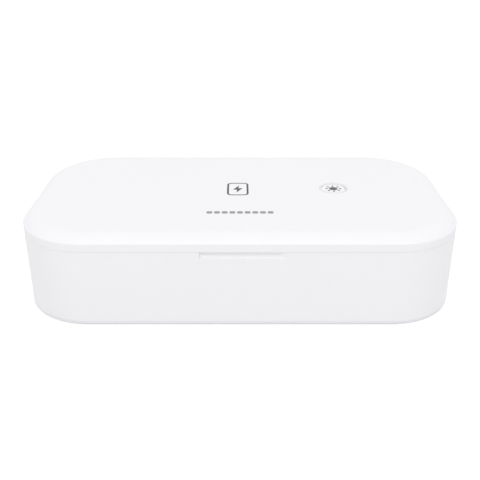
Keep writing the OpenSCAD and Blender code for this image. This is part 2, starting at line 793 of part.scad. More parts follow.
module ferrite_disc() at_body() color([0.25, 0.25, 0.26])
    translate([0, pad_y, lid_in_z - coil_wire - 0.1 - ferrite_t])
        cylinder(h = ferrite_t, r = ferrite_r, $fn = fn_plan);

module lid_magnets() at_body() color(steel)
    at_magnets([-1, 0, 1]) rod(magnet_r, lid_z + magnet_skin, lid_z + magnet_skin + magnet_t);

module light_ring() at_body() color(white, 0.7) at_button() difference() {
    union() {
        rod(ring_r, lid_in_z - eps, body_h);
        rod(ring_flange_r, lid_in_z - ring_flange_t, lid_in_z);
    }
    rod(ring_r - ring_w, lid_in_z - 2, body_h + 1);
}

// White lamps on the lid's board that light the ring from below
module ring_leds() at_body() color("ivory") at_button()
    for (a = [45 : 90 : 315]) rotate(a) translate([ring_r - ring_w / 2, 0, lid_board_top + 0.4])
        cube([1.2, 2, 0.8], center = true);

module tact_switch() at_body() color(black) at_button() difference() {
    translate([0, 0, lid_board_top + switch_t / 2]) cube([switch_side, switch_side, switch_t], center = true);
    rod(plunger_r + 0.1, lid_board_top + 0.3, lid_board_top + switch_t + 1);
}

// Button

module power_button() at_body() color(white) at_button() {
    rod(button_r, button_low, body_h - button_sink);
    rod(button_flange_r, button_low, button_low + button_flange_t);
    rod(stem_r, plunger_top, button_low + eps);
}

module switch_plunger() at_body() color("ivory") at_button()
    rod(plunger_r, lid_board_top + switch_t - plunger_sink, plunger_top);

// Wire along a list of points in one level plane

function unit(v) = v / norm(v);

function with_straight_ends(p, length) = let (n = len(p)) concat(
    [p[0] + length * unit(p[0] - p[1])], p, [p[n - 1] + length * unit(p[n - 1] - p[n - 2])]
);

function tangents(p) = [
    for (i = [0 : len(p) - 1]) unit(p[min(i + 1, len(p) - 1)] - p[max(i - 1, 0)])
];

module tube(points, r, sides) {
    t = tangents(points);
    rings = [
        for (i = [0 : len(points) - 1], k = [0 : sides - 1])
            let (out = cross(t[i], [0, 0, 1]), a = (k + 0.5) * 360 / sides)
                points[i] + r * (cos(a) * out + sin(a) * [0, 0, 1])
    ];
    last = (len(points) - 1) * sides;
    quads = [
        for (i = [0 : len(points) - 2], k = [0 : sides - 1])
            [i * sides + k, i * sides + (k + 1) % sides]
    ];
    polyhedron(
        points = rings,
        faces = concat(
            [[for (k = [sides - 1 : -1 : 0]) k]],
            [[for (k = [0 : sides - 1]) last + k]],
            [for (q = quads) [q[0], q[1], q[1] + sides]],
            [for (q = quads) [q[0], q[1] + sides, q[0] + sides]]
        )
    );
}

base_shell();
bottom_cover();
base_liner();
phone_rests();
foot_front_left();
foot_front_right();
foot_rear_left();
foot_rear_right();
bottom_screws();
base_led_board();
base_uv_leds();
base_uv_windows();
main_board();
main_board_chips();
base_cable_socket();
usb_shell();
usb_tongue();
base_magnets();
interlock_sensor();
hinge_pin_left();
hinge_pin_right();
base_cable();
lid_shell();
lid_liner();
lid_screws();
lid_bumpers();
lid_led_board();
lid_uv_leds();
lid_uv_windows();
lid_board();
lid_board_chips();
lid_cable_socket();
lid_cable();
charging_coil();
ferrite_disc();
lid_magnets();
light_ring();
ring_leds();
tact_switch();
power_button();
switch_plunger();
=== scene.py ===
"""Looks of the UV sanitizer box for phones: materials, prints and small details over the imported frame."""
import math

import bmesh
import bpy
from mathutils import Matrix, Vector


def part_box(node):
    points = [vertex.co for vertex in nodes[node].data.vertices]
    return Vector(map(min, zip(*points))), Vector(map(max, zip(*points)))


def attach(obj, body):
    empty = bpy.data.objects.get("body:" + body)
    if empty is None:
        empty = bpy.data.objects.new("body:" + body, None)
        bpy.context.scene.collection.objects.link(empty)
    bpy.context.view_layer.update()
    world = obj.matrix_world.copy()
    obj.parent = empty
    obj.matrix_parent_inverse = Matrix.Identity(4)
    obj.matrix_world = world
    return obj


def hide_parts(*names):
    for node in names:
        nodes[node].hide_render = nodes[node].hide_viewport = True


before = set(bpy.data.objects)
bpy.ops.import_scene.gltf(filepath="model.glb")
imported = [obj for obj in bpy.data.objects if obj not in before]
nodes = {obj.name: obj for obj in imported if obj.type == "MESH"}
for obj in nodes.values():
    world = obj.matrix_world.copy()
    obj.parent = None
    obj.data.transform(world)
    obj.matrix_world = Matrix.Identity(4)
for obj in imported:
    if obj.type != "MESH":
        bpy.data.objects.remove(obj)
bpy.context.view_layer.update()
MM = 0.001
EVEN = (1, 1, 1)
CORNERS = ((-1, -1), (-1, 1), (1, -1), (1, 1))


# Sizes read from the frame

WELD = 0.001 * MM  # corners closer than this are one corner


def span(node):
    """Lowest corner, highest corner and middle of a CAD node."""
    low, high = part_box(node)
    return low, high, (low + high) / 2


def reached_from(start, seen):
    """Vertices that hang together with the first one; they are added to those seen."""
    seen.add(start)
    reached = [start]
    for vert in reached:
        for edge in vert.link_edges:
            other = edge.other_vert(vert)
            if other not in seen:
                seen.add(other)
                reached.append(other)
    return reached


def solids_of(node):
    """Lowest and highest corner of each separate solid of a CAD node."""
    shape = bmesh.new()
    shape.from_mesh(nodes[node].data)
    bmesh.ops.remove_doubles(shape, verts=shape.verts, dist=WELD)
    boxes = []
    seen = set()
    for start in shape.verts:
        if start in seen:
            continue
        corners = [vert.co for vert in reached_from(start, seen)]
        low = Vector(min(c[axis] for c in corners) for axis in range(3))
        high = Vector(max(c[axis] for c in corners) for axis in range(3))
        boxes.append((low, high))
    shape.free()
    return boxes


body_mid = span("bottom_cover")[2]
lid_top = span("lid_shell")[1].z
pad_mid = span("ferrite_disc")[2]
button_mid = span("power_button")[2]
button_top = span("power_button")[1].z


# Shader nodes

NOISE_LOW, NOISE_HIGH = 0.3, 0.7  # nearly all values of a noise lie between these
BEVEL_SAMPLES = 6


def new_material(name):
    """A new material, its node tree and its Principled shader."""
    material = bpy.data.materials.new(name)
    material.use_nodes = True
    tree = material.node_tree
    return material, tree, tree.nodes["Principled BSDF"]


def link(tree, output, socket):
    """Joins an output of one node to a socket of another."""
    tree.links.new(output, socket)


def set_sockets(node, values):
    """Sets sockets of a node by their names."""
    for socket, value in values.items():
        node.inputs[socket].default_value = value


def position(tree, scale, stretch=EVEN):
    """Coordinates that stay on the piece, in metres times a scale."""
    where = tree.nodes.new("ShaderNodeTexCoord")
    squeeze = tree.nodes.new("ShaderNodeMapping")
    squeeze.inputs["Scale"].default_value = [scale * s for s in stretch]
    link(tree, where.outputs["Object"], squeeze.inputs["Vector"])
    return squeeze.outputs["Vector"]


def noise(tree, scale, detail=2, stretch=EVEN):
    """Soft noise with features about one metre over the scale in size."""
    texture = tree.nodes.new("ShaderNodeTexNoise")
    set_sockets(texture, {"Scale": 1, "Detail": detail})
    link(tree, position(tree, scale, stretch), texture.inputs["Vector"])
    return texture.outputs["Fac"]


def cells(tree, scale):
    """Distance from the middle of scattered cells, as a part of a cell's size."""
    texture = tree.nodes.new("ShaderNodeTexVoronoi")
    texture.feature = "F1"
    set_sockets(texture, {"Scale": 1})
    link(tree, position(tree, scale), texture.inputs["Vector"])
    return texture.outputs["Distance"]


def remap(tree, value, low, high, start=NOISE_LOW, end=NOISE_HIGH):
    """Carries a value from the range start to end over to the range low to high."""
    node = tree.nodes.new("ShaderNodeMapRange")
    set_sockets(node, {"From Min": start, "From Max": end, "To Min": low, "To Max": high})
    link(tree, value, node.inputs["Value"])
    return node.outputs["Result"]


def mix_colours(tree, value, first, second):
    """First colour where the value is 0, second where it is 1."""
    node = tree.nodes.new("ShaderNodeMix")
    node.data_type = "RGBA"
    link(tree, value, node.inputs["Factor"])
    link(tree, first, node.inputs["A"])
    link(tree, second, node.inputs["B"])
    return node.outputs["Result"]


def toned(tree, shader, texture, first, second, start=NOISE_LOW, end=NOISE_HIGH):
    """Base colour that runs from first to second as a texture goes from start to end."""
    ramp = tree.nodes.new("ShaderNodeValToRGB")
    stops = ramp.color_ramp.elements
    stops[0].position, stops[1].position = start, end
    stops[0].color, stops[1].color = (*first, 1), (*second, 1)
    link(tree, texture, ramp.inputs["Fac"])
    link(tree, ramp.outputs["Color"], shader.inputs["Base Color"])


def roughened(tree, shader, texture, low, high):
    """Roughness that follows a texture from low to high."""
    link(tree, remap(tree, texture, low, high), shader.inputs["Roughness"])


def bumped(tree, shader, height, depth, edge=0):
    """Relief of a real depth, over edges that are eased by a radius."""
    bump = tree.nodes.new("ShaderNodeBump")
    set_sockets(bump, {"Distance": depth, "Strength": 1})
    link(tree, height, bump.inputs["Height"])
    if edge:
        bevel = tree.nodes.new("ShaderNodeBevel")
        bevel.samples = BEVEL_SAMPLES
        bevel.inputs["Radius"].default_value = edge
        link(tree, bevel.outputs["Normal"], bump.inputs["Normal"])
    link(tree, bump.outputs["Normal"], shader.inputs["Normal"])


# Kinds of material

METAL_SHADE = 0.93  # darkest tone of a metal, as a part of its colour
STREAK_DEPTH = 0.002 * MM
GLASS_CLEAR = (0.99, 0.995, 1.0)
GLASS_HAZE = 0.03  # what the haziest spots of a glass add to its roughness


def dimmed(colour, part):
    """Colour brought down to a part of its strength."""
    return tuple(c * part for c in colour)


def moulded(name, colour, shade=0.02, rough=(0.34, 0.42), grain=4500, depth=0.015 * MM,
            edge=0.25 * MM):
    """Moulded plastic or rubber: a fine even grain, a slow drift in colour, and eased edges."""
    material, tree, shader = new_material(name)
    toned(tree, shader, noise(tree, scale=18, detail=3), dimmed(colour, 1 - shade), colour)
    roughened(tree, shader, noise(tree, scale=90, detail=4), *rough)
    bumped(tree, shader, noise(tree, scale=grain), depth, edge)
    return material


def milky(material, reach):
    """Lets light into a material, and out again within a distance."""
    shader = material.node_tree.nodes["Principled BSDF"]
    set_sockets(shader, {"Subsurface Weight": 0.8, "Subsurface Radius": EVEN, "Subsurface Scale": reach})


def metal(name, colour, rough=(0.22, 0.34), stretch=EVEN, streaks=900, edge=0):
    """Metal with fine drawn streaks and a slight drift in tone."""
    material, tree, shader = new_material(name)
    shader.inputs["Metallic"].default_value = 1
    toned(tree, shader, noise(tree, scale=120, detail=3), dimmed(colour, METAL_SHADE), colour)
    lines = noise(tree, scale=streaks, detail=3, stretch=stretch)
    roughened(tree, shader, lines, *rough)
    bumped(tree, shader, lines, STREAK_DEPTH, edge)
    return material


def mirror_film():
    """Vacuum-metallised plastic: bright, with the slight orange peel of its lacquer."""
    material, tree, shader = new_material("metallised_film")
    shader.inputs["Metallic"].default_value = 1
    dull, bright = (0.7, 0.71, 0.73), (0.76, 0.77, 0.785)
    toned(tree, shader, noise(tree, scale=30), dull, bright)
    roughened(tree, shader, noise(tree, scale=160, detail=3), low=0.12, high=0.2)
    bumped(tree, shader, noise(tree, scale=420), depth=0.012 * MM, edge=0.3 * MM)
    return material


def circuit_board():
    """Green solder mask over copper tracks that turn at right angles, with tinned vias."""
    material, tree, shader = new_material("solder_mask_green")
    in_millimetres = position(tree, 1 / MM)
    tracks = tree.nodes.new("ShaderNodeTexBrick")
    set_sockets(tracks, {
        "Color1": (0.012, 0.115, 0.05, 1),
        "Color2": (0.015, 0.135, 0.06, 1),
        "Mortar": (0.035, 0.24, 0.1, 1),
        "Scale": 1,
        "Mortar Size": 0.09,
        "Brick Width": 3.4,
        "Row Height": 1.1,
    })
    link(tree, in_millimetres, tracks.inputs["Vector"])
    vias = remap(tree, cells(tree, scale=240), low=1, high=0, start=0.075, end=0.09)
    solder = tree.nodes.new("ShaderNodeRGB").outputs[0]
    solder.default_value = (0.6, 0.58, 0.5, 1)
    link(tree, mix_colours(tree, vias, tracks.outputs["Color"], solder), shader.inputs["Base Color"])
    roughened(tree, shader, noise(tree, scale=300), low=0.28, high=0.4)
    bumped(tree, shader, tracks.outputs["Fac"], depth=0.03 * MM)
    return material


def litz():
    """Enamelled copper strands, twisted along the wire, with painted shade in the grooves between them."""
    material, tree, shader = new_material("copper_litz")
    along = tree.nodes.new("ShaderNodeUVMap")
    twist = tree.nodes.new("ShaderNodeTexWave")
    twist.bands_direction = "DIAGONAL"
    twist.inputs["Scale"].default_value = 1.2
    link(tree, along.outputs["UV"], twist.inputs["Vector"])
    strands = twist.outputs["Fac"]
    # The colour runs from dark in the grooves between strands to bright on their crowns; the dark is
    # painted shade.
    dark, bright = (0.3, 0.1, 0.035), (0.75, 0.34, 0.14)
    toned(tree, shader, strands, dark, bright, start=0.1, end=0.8)
    roughened(tree, shader, strands, low=0.5, high=0.3)
    shader.inputs["Metallic"].default_value = 0.8
    bumped(tree, shader, strands, depth=0.08 * MM)
    return material


def clear_glass(name, tint, ior, rough):
    """Clear polished glass with a trace of haze."""
    material, tree, shader = new_material(name)
    toned(tree, shader, noise(tree, scale=60), tint, GLASS_CLEAR)
    roughened(tree, shader, noise(tree, scale=200, detail=3), rough, rough + GLASS_HAZE)
    set_sockets(shader, {"Transmission Weight": 1, "IOR": ior})
    return material


# The materials of this object

WHITE = (0.907, 0.899, 0.921)

white_shell = moulded("satin_white_abs", WHITE, shade=0.008, edge=0.12 * MM)
button_white = moulded("button_white_abs", WHITE, shade=0.012, rough=(0.3, 0.36), edge=0.12 * MM)
light_pipe = moulded(
    "milky_acrylic", (0.945, 0.945, 0.96),
    shade=0.02, rough=(0.2, 0.26), grain=1200, depth=0.002 * MM)
silicone = moulded(
    "clear_silicone", (0.82, 0.84, 0.86),
    shade=0.05, rough=(0.4, 0.5), grain=1500, depth=0.006 * MM)
foot_rubber = moulded(
    "grey_rubber", (0.2, 0.2, 0.21),
    shade=0.12, rough=(0.75, 0.88), grain=3000, depth=0.02 * MM, edge=0.15 * MM)
bumper_rubber = moulded(
    "pale_rubber", (0.5, 0.5, 0.52),
    shade=0.08, rough=(0.7, 0.82), grain=3000, depth=0.015 * MM, edge=0.1 * MM)
black_plastic = moulded(
    "moulded_black", (0.025, 0.025, 0.028),
    shade=0.2, rough=(0.45, 0.6), grain=5000, depth=0.01 * MM, edge=0.06 * MM)
cable_skin = moulded(
    "cable_black", (0.03, 0.03, 0.033),
    shade=0.15, rough=(0.35, 0.45), grain=2500, depth=0.008 * MM)
ivory_plastic = moulded(
    "connector_ivory", (0.78, 0.73, 0.58),
    shade=0.05, rough=(0.38, 0.5), grain=4000, depth=0.006 * MM, edge=0.1 * MM)
ferrite = moulded(
    "sintered_ferrite", (0.055, 0.055, 0.06),
    shade=0.3, rough=(0.6, 0.75), grain=7000, depth=0.012 * MM, edge=0.08 * MM)
ceramic = moulded(
    "lamp_ceramic", (0.78, 0.76, 0.7),
    shade=0.06, rough=(0.35, 0.5), grain=6000, depth=0.004 * MM, edge=0.05 * MM)
phosphor = moulded(
    "lamp_phosphor", (0.85, 0.7, 0.2),
    shade=0.1, rough=(0.4, 0.5), grain=8000, depth=0.004 * MM)
capacitor = moulded(
    "capacitor_brown", (0.32, 0.2, 0.12),
    shade=0.15, rough=(0.35, 0.45), grain=6000, depth=0.004 * MM, edge=0.05 * MM)
print_dark = moulded(
    "print_dark_grey", (0.075, 0.075, 0.085),
    shade=0.15, rough=(0.5, 0.6), grain=6000, depth=0.002 * MM)
print_grey = moulded(
    "print_mid_grey", (0.35, 0.35, 0.365),
    shade=0.12, rough=(0.5, 0.6), grain=6000, depth=0.002 * MM)
print_button = moulded(
    "print_button_grey", (0.12, 0.12, 0.13),
    shade=0.12, rough=(0.5, 0.6), grain=6000, depth=0.002 * MM)
steel = metal("plated_steel", (0.62, 0.63, 0.65), stretch=(0.15, 1, 1))
nickel = metal("nickel_plate", (0.7, 0.68, 0.64), rough=(0.14, 0.22), streaks=400, edge=0.15 * MM)
tin = metal("tinned_leads", (0.72, 0.72, 0.73), rough=(0.28, 0.4), streaks=1500)
gold = metal("gilded_pads", (0.9, 0.66, 0.3), rough=(0.2, 0.3), streaks=2000)
mirror = mirror_film()
board_green = circuit_board()
copper = litz()
quartz = clear_glass("fused_quartz", tint=(0.97, 0.985, 1.0), ior=1.46, rough=0.01)
lens_glass = clear_glass("lamp_lens", tint=(0.96, 0.98, 0.97), ior=1.5, rough=0.03)
milky(light_pipe, reach=1.5 * MM)
milky(silicone, reach=2 * MM)


# Finished materials of the CAD nodes that stay

FINISHES = (
    (white_shell, ["base_shell", "bottom_cover", "lid_shell"]),
    (mirror, ["base_liner", "lid_liner"]),
    (button_white, ["power_button"]),
    (light_pipe, ["light_ring"]),
    (silicone, ["phone_rests"]),
    (foot_rubber, ["foot_front_left", "foot_front_right", "foot_rear_left", "foot_rear_right"]),
    (bumper_rubber, ["lid_bumpers"]),
    (board_green, ["main_board", "lid_board", "base_led_board", "lid_led_board"]),
    (quartz, ["base_uv_windows", "lid_uv_windows"]),
    (steel, ["hinge_pin_left", "hinge_pin_right", "usb_shell"]),
    (nickel, ["base_magnets", "lid_magnets"]),
    (cable_skin, ["base_cable", "lid_cable"]),
    (ferrite, ["ferrite_disc"]),
    (ivory_plastic, ["switch_plunger"]),
)

for finish, names in FINISHES:
    for name in names:
        nodes[name].data.materials.clear()
        nodes[name].data.materials.append(finish)


# Mesh building. A part's material is its number in the piece's list of materials.

SHARP = math.radians(35)  # faces that meet at less than this are smooth
EDGE_STEPS = 2
EDGE_PROFILE = 0.7
CASE_EDGE = 0.12 * MM  # eased edge of a moulded case


def around(sides):
    """Cosine and sine of evenly spread angles, anticlockwise from +X."""
    turn = [math.tau * k / sides for k in range(sides)]
    return [(math.cos(a), math.sin(a)) for a in turn]


def row(middle, count, pitch):
    """Coordinates of a row of things about its middle."""
    return [middle + (k - (count - 1) / 2) * pitch for k in range(count)]


def paint(shape, before, material):
    """Gives the faces made since before a material of their piece."""
    for face in shape.faces:
        if face not in before:
            face.material_index = material


def bridge(shape, first, second):
    """Faces between two closed loops of as many vertices. A loop may be one vertex, repeated."""
    faces = []
    count = len(first)
    for k in range(count):
        n = (k + 1) % count
        corners = [first[k], first[n], second[n], second[k]]
        faces.append(shape.faces.new(list(dict.fromkeys(corners))))
    return faces


def block(shape, low, high, bevel=0, material=0):
    """Box between two corners, with eased edges."""
    before = set(shape.faces)
    middle, size = (low + high) / 2, high - low
    fit = Matrix.Translation(middle) @ Matrix.Diagonal((*size, 1))
    verts = bmesh.ops.create_cube(shape, size=1, matrix=fit)["verts"]
    if bevel:
        edges = {edge: None for vert in verts for edge in vert.link_edges}
        bmesh.ops.bevel(shape, geom=list(edges), offset=bevel, segments=EDGE_STEPS,
                        profile=EDGE_PROFILE, affect="EDGES")
    paint(shape, before, material)


def block_about(shape, middle, reach, material):
    """Sharp box that reaches as far to each side of its middle."""
    block(shape, middle - reach, middle + reach, material=material)


def lathe(shape, profile, centre, sides=32, material=0):
    """Turns a profile of (radius, height) points about an upright axis; a radius of 0 closes it."""
    before = set(shape.faces)
    rings = []
    for radius, height in profile:
        if radius == 0:
            rings.append([shape.verts.new((centre.x, centre.y, centre.z + height))] * sides)
            continue
        rings.append([
            shape.verts.new((centre.x + radius * c, centre.y + radius * s, centre.z + height))
            for c, s in around(sides)
        ])
    for lower, upper in zip(rings, rings[1:]):
        bridge(shape, lower, upper)
    paint(shape, before, material)
    return rings


def disc(shape, centre, radius, thick, sides, material=0):
    """Closed disc that stands on its centre."""
    lathe(shape, [(0, 0), (radius, 0), (radius, thick), (0, thick)], centre, sides, material)


def plate(shape, outline, low, high):
    """Upright prism over a plan outline, which runs anticlockwise."""
    under = [shape.verts.new((p.x, p.y, low)) for p in outline]
    over = [shape.verts.new((p.x, p.y, high)) for p in outline]
    shape.faces.new(reversed(under))
    shape.faces.new(over)
    bridge(shape, under, over)


def band(shape, outer, inner, low, high, material=0):
    """Upright ring between two plan outlines of as many points."""
    before = set(shape.faces)
    loops = [
        [shape.verts.new((p.x, p.y, z)) for p in outline]
        for outline, z in ((outer, low), (outer, high), (inner, high), (inner, low))
    ]
    for first, second in zip(loops, loops[1:] + loops[:1]):
        bridge(shape, first, second)
    paint(shape, before, material)


def piece(name, shape, materials, body, stands_for=()):
    """Turns a bmesh into a piece of the object, with smooth faces between its sharp edges."""
    bmesh.ops.recalc_face_normals(shape, faces=shape.faces)
    mesh = bpy.data.meshes.new(name)
    shape.to_mesh(mesh)
    shape.free()
    for material in materials:
        mesh.materials.append(material)
    mesh.shade_smooth()
    mesh.set_sharp_from_angle(angle=SHARP)
    made = bpy.data.objects.new(name, mesh)
    bpy.context.scene.collection.objects.link(made)
    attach(made, body)
    if stands_for:
        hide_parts(*stands_for)


# Plan outlines

def arc(middle, radius, start, end, steps):
    """Points on an arc, in degrees, both ends included."""
    turn = [math.radians(start + (end - start) * k / steps) for k in range(steps + 1)]
    return [middle + radius * Vector((math.cos(a), math.sin(a))) for a in turn]


def circle(middle, radius, sides=32):
    """Points of a whole circle, anticlockwise."""
    return arc(middle, radius, 0, 360 - 360 / sides, sides - 1)


def rounded(middle, width, depth, radius, steps=8):
    """Rounded rectangle, anticlockwise."""
    points = []
    for sx, sy, start in ((1, 1, 0), (-1, 1, 90), (-1, -1, 180), (1, -1, 270)):
        corner = middle + Vector((sx * (width / 2 - radius), sy * (depth / 2 - radius)))
        points += arc(corner, radius, start, start + 90, steps)
    return points


def turned(outline, middle, angle):
    """Outline turned about a point by an angle in degrees."""
    turn = Matrix.Rotation(math.radians(angle), 2)
    return [middle + turn @ (p - middle) for p in outline]


# Prints on the lid and the button

PRINT_T = 0.02 * MM  # a print stands this far above its face, and goes as far into it


def charging_mark():
    """Outline of a phone with a bolt in it, a little off the middle of the charging pad."""
    shift = 1.2 * MM
    middle = Vector((pad_mid.x - shift, pad_mid.y - shift))
    width, depth, line, radius = 11.6 * MM, 18 * MM, 1 * MM, 2.6 * MM
    low, high = lid_top - PRINT_T, lid_top + PRINT_T
    shape = bmesh.new()
    outer = rounded(middle, width, depth, radius)
    inner = rounded(middle, width - 2 * line, depth - 2 * line, radius - line)
    band(shape, outer, inner, low, high)
    half_w, half_d = 2.6 * MM, 5.2 * MM
    bolt = [(0.3, 1), (-1, -0.2), (-0.1, -0.2), (-0.3, -1), (1, 0.2), (0.1, 0.2)]  # in halves of its size
    plate(shape, [middle + Vector((x * half_w, y * half_d)) for x, y in bolt], low, high)
    piece("charging_mark", shape, [print_dark], "lid")


def charging_bars():
    """Row of short rounded bars in front of the charging mark."""
    count, pitch, side, radius = 9, 3.85 * MM, 2.9 * MM, 0.8 * MM
    row_y = body_mid.y - 31 * MM
    shape = bmesh.new()
    for x in row(body_mid.x, count, pitch):
        outline = rounded(Vector((x, row_y)), side, side, radius)
        plate(shape, outline, lid_top - PRINT_T, lid_top + PRINT_T)
    piece("charging_bars", shape, [print_grey], "lid")


def sun_mark():
    """Disc with eight rays on the button."""
    middle = button_mid.to_2d()
    low, high = button_top - PRINT_T, button_top + PRINT_T
    sun_r, rays = 2.3 * MM, 8
    ray_in, ray_out, ray_w = 2.9 * MM, 4.5 * MM, 1.05 * MM
    end_r = ray_w / 2 - 0.01 * MM  # all but half the width, so that the ends are nearly round
    shape = bmesh.new()
    plate(shape, circle(middle, sun_r), low, high)
    ray_mid = middle + Vector(((ray_in + ray_out) / 2, 0))
    ray = rounded(ray_mid, ray_out - ray_in, ray_w, end_r, steps=4)
    for k in range(rays):
        plate(shape, turned(ray, middle, 360 / rays * k), low, high)
    piece("sun_mark", shape, [print_button], "button")


# UV lamps. face is 1 for lamps that look up and -1 for those that look down.

PACKAGE, PADS, CHIP = range(3)
LAMP_MATERIALS = [ceramic, gold, phosphor]
LAMP_BODY = 0.4 * MM  # height of the ceramic package
LAMP_EDGE = 0.08 * MM
LAMP_CHIP = Vector((0.5 * MM, 0.5 * MM, 0.04 * MM))  # half the chip's size
PAD_SIDE, PAD_T = 0.9 * MM, 0.02 * MM
PAD_INSET = 0.55 * MM  # from the package's side to the middle of a pad
DOME_R = 1.2 * MM
DOME_STEPS = 8


def lamp_package(shape, low, high, foot, face):
    """Ceramic package on its foot, with gilded corners and a chip."""
    under, over = sorted((foot.z, foot.z + face * LAMP_BODY))
    block(shape, Vector((low.x, low.y, under)), Vector((high.x, high.y, over)), LAMP_EDGE, PACKAGE)
    half = (high.x - low.x) / 2
    for sx, sy in CORNERS:
        pad = foot + Vector((sx * (half - PAD_INSET), sy * (half - PAD_INSET), face * LAMP_BODY))
        block_about(shape, pad, Vector((PAD_SIDE / 2, PAD_SIDE / 2, PAD_T)), PADS)
    chip_mid = foot + Vector((0, 0, face * (LAMP_BODY + PAD_T)))
    block_about(shape, chip_mid, LAMP_CHIP, CHIP)


def lamp_dome(shape, foot, height, face):
    """Low glass dome over a package."""
    rise = height - LAMP_BODY
    turn = [math.radians(90 * k / DOME_STEPS) for k in range(DOME_STEPS)]
    curve = [(DOME_R * math.cos(a), face * (LAMP_BODY + rise * math.sin(a))) for a in turn]
    lathe(shape, [(0, face * LAMP_BODY)] + curve + [(0, face * height)], foot)


def lamps(side, face):
    """Packages and domes of the base or the lid."""
    node = f"{side}_uv_leds"
    packages, domes = bmesh.new(), bmesh.new()
    for low, high in solids_of(node):
        middle = (low + high) / 2
        foot = Vector((middle.x, middle.y, low.z if face > 0 else high.z))
        lamp_package(packages, low, high, foot, face)
        lamp_dome(domes, foot, high.z - low.z, face)
    piece(f"{side}_lamp_packages", packages, LAMP_MATERIALS, side, [node])
    piece(f"{side}_lamp_lenses", domes, [lens_glass], side)


# Screws

HEAD_SIDES, SHANK_SIDES = 48, 24
SHANK_PART = 0.47  # radius of a shank over that of its head
THREAD_PITCH = 0.8 * MM


def cross_outline(centre, arm, half):
    """Corners of a level cross, anticlockwise: the length of its arms and half their width."""
    corners = []
    for k in range(4):
        turn = Matrix.Rotation(math.radians(90 * k), 2)
        for x, y in ((arm, -half), (arm, half), (half, half)):
            p = turn @ Vector((x, y))
            corners.append(Vector((centre.x + p.x, centre.y + p.y, centre.z)))
    return corners


def loop_edges(shape, loop):
    """Edges of a closed loop of vertices, found or made."""
    pairs = [(vert, loop[(k + 1) % len(loop)]) for k, vert in enumerate(loop)]
    return [shape.edges.get(pair) or shape.edges.new(pair) for pair in pairs]


def cross_head(shape, seat, radius, height):
    """Pan head with a cross recess, which looks down from its seat."""
    crown, shoulder_r, flat_r = 0.22 * height, 0.9 * radius, 0.8 * radius
    arm, half, sink, narrowing = 0.62 * radius, 0.2 * radius, 0.55 * height, 0.7
    radii = (radius, radius, shoulder_r, flat_r)
    heights = (0, height - crown, height - 0.3 * crown, height)
    profile = [(0, 0)] + [(r, -h) for r, h in zip(radii, heights)]
    rings = lathe(shape, profile, seat, HEAD_SIDES)
    ring = sorted(rings[-1], key=lambda vert: math.atan2(vert.co.y - seat.y, vert.co.x - seat.x))
    flat = Vector((seat.x, seat.y, seat.z - height))
    cross = cross_outline(flat, arm, half)
    lift = Vector((0, 0, (1 - narrowing) * (flat.z - seat.z) + sink))
    mouth = [shape.verts.new(p) for p in cross]
    bottom = [shape.verts.new(seat + (p - seat) * narrowing + lift) for p in cross]
    edges = loop_edges(shape, ring) + loop_edges(shape, mouth)
    bmesh.ops.triangle_fill(shape, use_beauty=True, use_dissolve=False, edges=edges)
    bridge(shape, mouth, bottom)
    shape.faces.new(bottom)


def threaded_shank(shape, seat, radius, tip):
    """Shank from its seat up to a blunt tip, with the ridges of its thread."""
    core, tip_r = radius - 0.14 * radius, 0.6 * radius
    start, crest, end = 0.3, 0.35, 0.7  # of a ridge, in pitches; crest and end count from its start
    ridges = int((tip - seat.z) / THREAD_PITCH) - 1
    profile = [(0, seat.z), (core, seat.z)]
    for k in range(ridges):
        foot = seat.z + (k + start) * THREAD_PITCH
        profile.append((core, foot))
        profile.append((radius, foot + crest * THREAD_PITCH))
        profile.append((core, foot + end * THREAD_PITCH))
    profile += [(tip_r, tip), (0, tip)]
    lathe(shape, profile, Vector((seat.x, seat.y, 0)), SHANK_SIDES)


def screws(node, name, body, head_t):
    """Cross-headed screws that point up, in place of the plain ones."""
    shape = bmesh.new()
    for low, high in solids_of(node):
        middle = (low + high) / 2
        head_r = (high.x - low.x) / 2
        seat = Vector((middle.x, middle.y, low.z + head_t))
        cross_head(shape, seat, head_r, head_t)
        threaded_shank(shape, seat, head_r * SHANK_PART, high.z)
    piece(name, shape, [steel], body, [node])


# Parts on the boards

MOULD, LEADS, CERAMIC, WINDING = range(4)
BOARD_MATERIALS = [black_plastic, tin, capacitor, copper]
CHOKE_HEIGHT = 1.9 * MM  # a taller block is a choke
CHIP_WIDTH = 2.6 * MM  # a narrower one is a capacitor
LEG_REACH, LEG_WIDTH = 0.55 * MM, 0.35 * MM

# Foot, rise and shoulder of a bent leg: from near to far, as parts of the reach in from the edge
# of the chip's box, and from bottom to top, as parts of the box's height
LEG_STEPS = ((0, 0.25, 0, 0.12), (0.18, 0.34, 0, 0.6), (0.26, 1.1, 0.48, 0.62))


def gull_legs(shape, low, high, along, count):
    """Bent legs on the two long sides of a chip, inside its CAD box."""
    across = 1 - along
    height = high.z - low.z
    for side in (-1, 1):
        edge = high[across] if side > 0 else low[across]
        for k in range(count):
            middle = low[along] + (high[along] - low[along]) * (k + 0.5) / count
            for near, far, bottom, top in LEG_STEPS:
                a, b = Vector(low), Vector(high)
                a[along], b[along] = middle - LEG_WIDTH / 2, middle + LEG_WIDTH / 2
                a[across], b[across] = sorted(edge - side * part * LEG_REACH for part in (near, far))
                a.z, b.z = low.z + bottom * height, low.z + top * height
                block(shape, a, b, material=LEADS)


